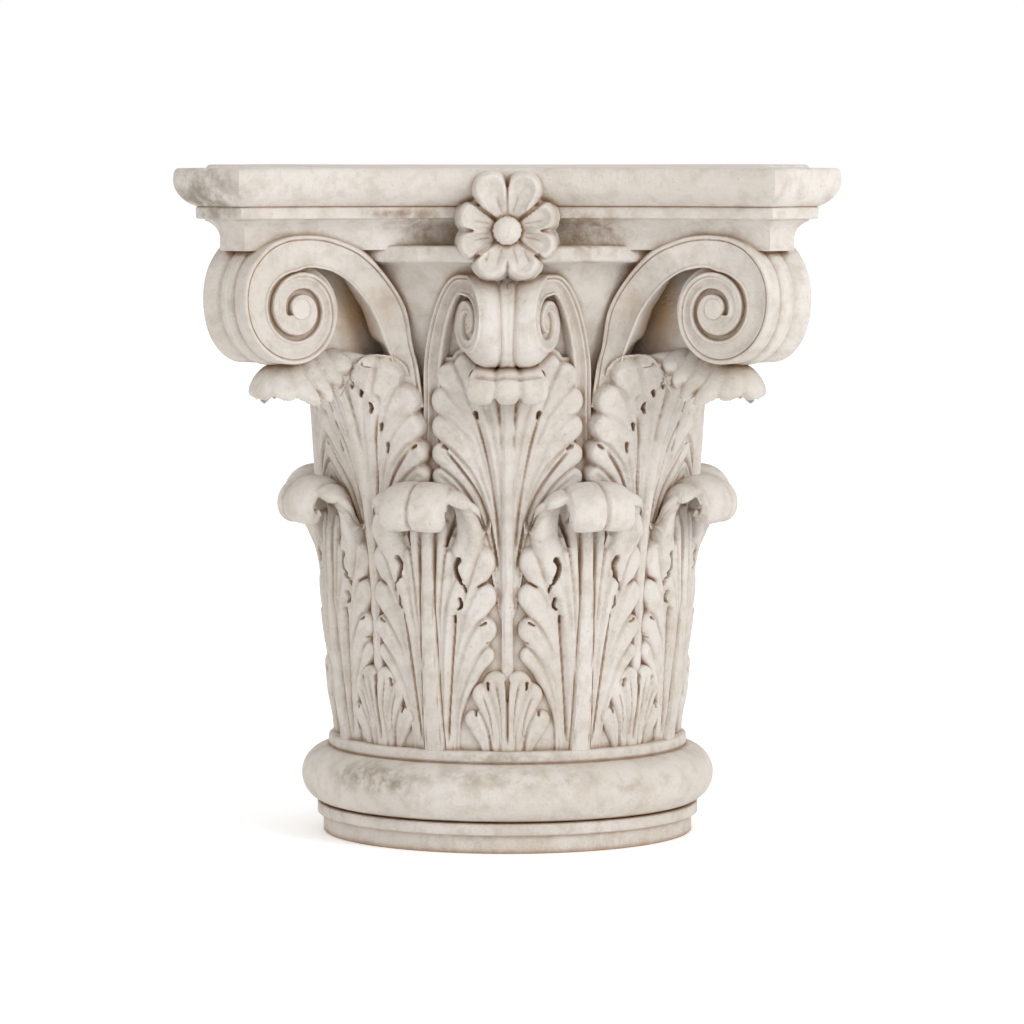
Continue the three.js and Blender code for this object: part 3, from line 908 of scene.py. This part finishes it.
def noise(tree, where, size_mm, detail=3.0, rough=0.55):
    """Noise whose blots are about size_mm across."""
    values = {"Scale": 1 / (size_mm * MM), "Detail": detail, "Roughness": rough}
    return add_node(tree, "ShaderNodeTexNoise", values, {"Vector": where}).outputs["Fac"]


def calc(tree, operation, a, b):
    """Result of a sum on two values or sockets."""
    node = add_node(tree, "ShaderNodeMath", operation=operation)
    feed(tree, node, ((0, a), (1, b)))
    return node.outputs[0]


def vector(tree, operation, values, by=(1, 1, 1)):
    """Result of a sum on a vector socket."""
    return add_node(tree, "ShaderNodeVectorMath", {1: by}, {0: values}, operation=operation).outputs


def tint(tree, colour, mask, strength, code):
    """Colour with another laid over it where mask is set."""
    return mix(tree, calc(tree, "MULTIPLY", mask, strength), colour, linear(code))


# stains, and one painted shadow: the brown patch left of the flower
STAINS_AND_SHADOW = (  # centre and reach in mm, colour, strength
    ((-232, -222, 506), (46, 60, 34), "857B6E", 0.75),
    ((-80, -204, 495), (40, 30, 5), "76593A", 0.8),
    # painted shadow of the flower on the hollow of the abacus, tinted brown
    ((-62, -182, 482), (34, 34, 20), "7D6143", 0.75),
    ((62, -182, 480), (40, 34, 22), "86694A", 0.75),
    ((60, -184, 452), (16, 24, 9), "8C6C48", 0.8),
    ((-104, -128, 56), (54, 60, 15), "7F6F5C", 0.75),
    ((20, -160, 74), (120, 40, 6), "8A765F", 0.55),
    ((0, -160, 60), (110, 30, 9), "9A8971", 0.45),
    ((95, -118, 52), (40, 40, 8), "9A8971", 0.35),
    ((0, -250, 516), (90, 60, 7), "A5967F", 0.4),
)


def stain_and_shade_patch(tree, where, centre, reach, blots):
    """Mask of a broken-edged patch round a point, used for stains and for painted shade."""
    where = vector(tree, "SUBTRACT", where, [c * MM for c in centre])[0]
    where = vector(tree, "MULTIPLY", where, [1 / (r * MM) for r in reach])[0]
    near = ramp(tree, vector(tree, "LENGTH", where)["Value"], 1.0, 0.3)
    return calc(tree, "MULTIPLY", near, ramp(tree, blots, 0.38, 0.6))


def occlusion(tree, distance_mm, inside=False):
    """How open the surface is within a distance, or how solid the stone behind it is if inside is set."""
    reach = {"Distance": distance_mm * MM}
    return add_node(tree, "ShaderNodeAmbientOcclusion", reach, samples=6, inside=inside).outputs["AO"]


# brown patina with painted shade in the recess behind every corner scroll
RECESS_PATINA_AND_SHADE = (  # behind every corner scroll, as distances from the middle: centre and reach in mm
    ((112, 136, 428), (36, 27, 50)),
    ((136, 112, 428), (27, 36, 50)),
)


def worn_limestone():
    """Matt cream limestone: brown patina with painted shade in the hollows, pale worn edges with a painted
    highlight, stains, a painted shadow beside the flower, specks and pits.
    """
    material = bpy.data.materials.new("worn_cream_limestone")
    material.use_nodes = True
    tree = material.node_tree
    shader = tree.nodes["Principled BSDF"]
    where = add_node(tree, "ShaderNodeTexCoord").outputs["Object"]
    clouds = ramp(tree, noise(tree, where, 80, 4), 0.36, 0.66)
    blots = noise(tree, where, 15, 6, 0.65)
    grain = noise(tree, where, 1.5, 4, 0.7)
    speck = ramp(tree, noise(tree, where, 3.0, 3, 0.7), 0.64, 0.74)
    colour = mix(tree, clouds, linear("D9D3CC"), linear("CEC6BC"))
    colour = tint(tree, colour, ramp(tree, blots, 0.46, 0.66), 0.42, "B0A392")
    colour = tint(tree, colour, speck, 0.5, "94826B")
    # paler on sharp edges: worn edges, and a painted highlight along the ridges
    edge = ramp(tree, occlusion(tree, 2.5, True), 0.8, 0.35)
    colour = tint(tree, colour, edge, 0.45, "DDD7CE")
    broken = ramp(tree, blots, 0.3, 0.62, 0.7, 1.0)
    # brown patina in the creases, darkened as painted shade wherever the surface is closed in
    crease_patina_and_shade = calc(tree, "MULTIPLY", ramp(tree, occlusion(tree, 5), 0.84, 0.4), broken)
    colour = tint(tree, colour, crease_patina_and_shade, 0.7, "A17A50")
    # broad brown patina in the deep hollows, with painted shade that darkens wherever the stone is closed in
    deep_patina_and_shade = calc(tree, "MULTIPLY", ramp(tree, occlusion(tree, 34), 0.52, 0.14), broken)
    colour = tint(tree, colour, deep_patina_and_shade, 0.6, "A07C55")
    folded = vector(tree, "ABSOLUTE", where)[0]
    # painted shade and brown patina in the recesses behind the corner scrolls
    for centre, reach in RECESS_PATINA_AND_SHADE:
        mask = stain_and_shade_patch(tree, folded, centre, reach, ramp(tree, blots, 0.2, 0.42))
        colour = tint(tree, colour, mask, 0.9, "AE8A62")
    # stains, and the painted shadow beside the flower
    for centre, reach, code, strength in STAINS_AND_SHADOW:
        colour = tint(tree, colour, stain_and_shade_patch(tree, where, centre, reach, blots), strength, code)
    tree.links.new(colour, shader.inputs["Base Color"])
    shader.inputs["Roughness"].default_value = 0.86
    shader.inputs["Specular IOR Level"].default_value = 0.25
    scratches = ramp(tree, noise(tree, where, 5.0, 6, 0.75), 0.3, 0.7)
    pits = ramp(tree, noise(tree, where, 3.2, 3, 0.6), 0.36, 0.46)
    bumps = calc(tree, "MULTIPLY", grain, 0.35)
    bumps = calc(tree, "ADD", bumps, calc(tree, "MULTIPLY", scratches, 0.7))
    bumps = calc(tree, "ADD", bumps, calc(tree, "MULTIPLY", pits, 0.2))
    bump = add_node(tree, "ShaderNodeBump", {"Strength": 0.7, "Distance": 2 * MM}, {"Height": bumps})
    tree.links.new(bump.outputs["Normal"], shader.inputs["Normal"])
    return material


def pale_floor():
    """Matt white paper, with a little light of its own so that it stays white away from the shadow."""
    material = bpy.data.materials.new("matt_white_paper")
    material.use_nodes = True
    shader = material.node_tree.nodes["Principled BSDF"]
    shader.inputs["Base Color"].default_value = linear("FFFFFF")
    shader.inputs["Emission Color"].default_value = linear("FFFFFF")
    shader.inputs["Emission Strength"].default_value = 0.17
    shader.inputs["Roughness"].default_value = 1.0
    shader.inputs["Specular IOR Level"].default_value = 0.0
    return material


# ---- copies round the axis


def copies_tree():
    """Node tree that stands copies of the incoming piece round the axis and gives them their stone.

    Copy number n is turned by First + n * Step, and by Swing more or less as n is even or odd.
    """
    tree = bpy.data.node_groups.new("copies_round_the_axis", "GeometryNodeTree")
    tree.is_modifier = True
    names = ("Geometry", "Copies", "First", "Step", "Swing", "Stone")
    for name, kind in zip(names, ("Geometry", "Int", "Float", "Float", "Float", "Material")):
        tree.interface.new_socket(name, in_out="INPUT", socket_type="NodeSocket" + kind)
    tree.interface.new_socket("Geometry", in_out="OUTPUT", socket_type="NodeSocketGeometry")
    given = add_node(tree, "NodeGroupInput").outputs
    index = add_node(tree, "GeometryNodeInputIndex").outputs[0]
    odd = calc(tree, "MODULO", index, 2.0)
    side = calc(tree, "SUBTRACT", 1.0, calc(tree, "MULTIPLY", odd, 2.0))
    angle = calc(tree, "ADD", given["First"], calc(tree, "MULTIPLY", given["Step"], index))
    angle = calc(tree, "ADD", angle, calc(tree, "MULTIPLY", given["Swing"], side))
    turn = add_node(tree, "ShaderNodeCombineXYZ", links={"Z": angle}).outputs[0]
    turn = add_node(tree, "FunctionNodeEulerToRotation", links={0: turn}).outputs[0]
    spots = add_node(tree, "GeometryNodePoints", links={"Count": given["Copies"]}).outputs[0]
    links = {"Points": spots, "Instance": given["Geometry"], "Rotation": turn}
    stood = add_node(tree, "GeometryNodeInstanceOnPoints", links=links).outputs[0]
    real = add_node(tree, "GeometryNodeRealizeInstances", links={0: stood}).outputs[0]
    dressed = add_node(tree, "GeometryNodeSetMaterial", links={"Geometry": real, "Material": given["Stone"]})
    add_node(tree, "NodeGroupOutput", links={"Geometry": dressed.outputs[0]})
    return tree


def new_object(name, data):
    """Object linked into the scene."""
    made = bpy.data.objects.new(name, data)
    bpy.context.scene.collection.objects.link(made)
    return made


def applied(piece):
    """Mesh of an object with its modifier applied."""
    graph = bpy.context.evaluated_depsgraph_get()
    return bpy.data.meshes.new_from_object(piece.evaluated_get(graph))


def stand(name, mesh, copies=1, first=0.0, step=0.0, swing=0.0):
    """One finished piece: copies of mesh round the axis, as a plain mesh on the capital."""
    piece = new_object(name, mesh)
    modifier = piece.modifiers.new("copies", "NODES")
    modifier.node_group = round_the_axis
    values = {"Copies": copies, "First": first, "Step": step, "Swing": swing, "Stone": stone}
    for item in round_the_axis.interface.items_tree:
        if item.in_out == "INPUT" and item.name in values:
            modifier[item.identifier] = values[item.name]
    made = applied(piece)
    piece.modifiers.remove(modifier)
    piece.data = made
    made.name = name
    made.shade_smooth()
    made.set_sharp_from_angle(angle=SHARP)
    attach(piece, "root")
    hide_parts("capital")


# ---- the capital


def thinned(shape, name, triangles):
    """Mesh of a shape with its triangles reduced to about the given number."""
    mesh = shape.mesh(name)
    count = sum(len(face.vertices) - 2 for face in mesh.polygons)
    holder = new_object(name, mesh)
    holder.modifiers.new("thin", "DECIMATE").ratio = min(1.0, triangles / count)
    made = applied(holder)
    bpy.data.objects.remove(holder)
    return made


stone = worn_limestone()
round_the_axis = copies_tree()

lower = thinned(lower_leaf(GRID).solid(lower_sheet), "lower_leaf", 38000)
for name, start in (("lower_leaves_one", 0.0), ("lower_leaves_two", QUARTER)):
    stand(name, lower, 4, start, QUARTER, LOWER_AZIMUTH)

face = thinned(face_leaf(GRID).solid(face_sheet), "face_leaf", 34000)
stand("upper_face_leaves", face, 4, 0.0, QUARTER)

corner = thinned(corner_leaf(GRID).solid(corner_sheet), "corner_leaf", 40000)
stand("upper_corner_leaves", corner, 4, CORNER, QUARTER)

leaflet = thinned(small_leaf(GRID).solid(small_sheet), "small_leaf", 7000)
stand("small_leaves", leaflet, 8, 0.0, CORNER)

stand("corner_scrolls", corner_scroll().mesh("corner_scroll"), 4, 0.0, QUARTER)
stand("face_scrolls", face_scroll().mesh("face_scroll"), 4, 0.0, QUARTER)

bloom = thinned(flower(0.7).solid(flower_sheet), "flower", 16000)
stand("flowers", bloom, 4, 0.0, QUARTER)
stand("foot_and_bell", foot_and_bell().mesh("foot"))
stand("abacus", abacus().mesh("top"))


# ---- stage, light and camera

FLOOR_HALF = 30.0  # metres, as are the places below
LIGHT_PLACE, LIGHT_AIM = (1.9, -2.2, 1.6), (0, 0, 0.27)
VIEW_PLACE, VIEW_AIM = (0.0036, -4.0, 0.5576), (0.0036, 0, 0.2538)


def placed(thing, position, aim):
    """Moves a light or a camera to position, looking at aim."""
    thing.location = position
    thing.rotation_euler = (Vector(aim) - Vector(position)).to_track_quat("-Z", "Y").to_euler()


def stage_floor():
    """Pale floor under the capital."""
    corners = [(x * FLOOR_HALF, y * FLOOR_HALF, 0) for x, y in ((-1, -1), (1, -1), (1, 1), (-1, 1))]
    mesh = bpy.data.meshes.new("floor")
    mesh.from_pydata(corners, [], [(0, 1, 2, 3)])
    mesh.materials.append(pale_floor())
    new_object("floor", mesh)


def studio_light():
    """White surroundings and one broad soft light from the upper right."""
    world = bpy.data.worlds.new("white_studio")
    bpy.context.scene.world = world
    world.use_nodes = True
    sky = world.node_tree.nodes["Background"]
    sky.inputs["Color"].default_value = (1, 1, 1, 1)
    sky.inputs["Strength"].default_value = 1.0
    light = bpy.data.lights.new("key", "AREA")
    light.shape = "DISK"
    light.size = 1.3
    light.energy = 34
    placed(new_object("key", light), LIGHT_PLACE, LIGHT_AIM)


def front_camera():
    """Long lens in front, a little above the top of the capital."""
    camera = bpy.data.cameras.new("camera")
    camera.sensor_width = 36
    camera.lens = 176.8
    viewer = new_object("camera", camera)
    placed(viewer, VIEW_PLACE, VIEW_AIM)
    bpy.context.scene.camera = viewer


stage_floor()
studio_light()
front_camera()
bpy.context.scene.view_settings.view_transform = "Standard"
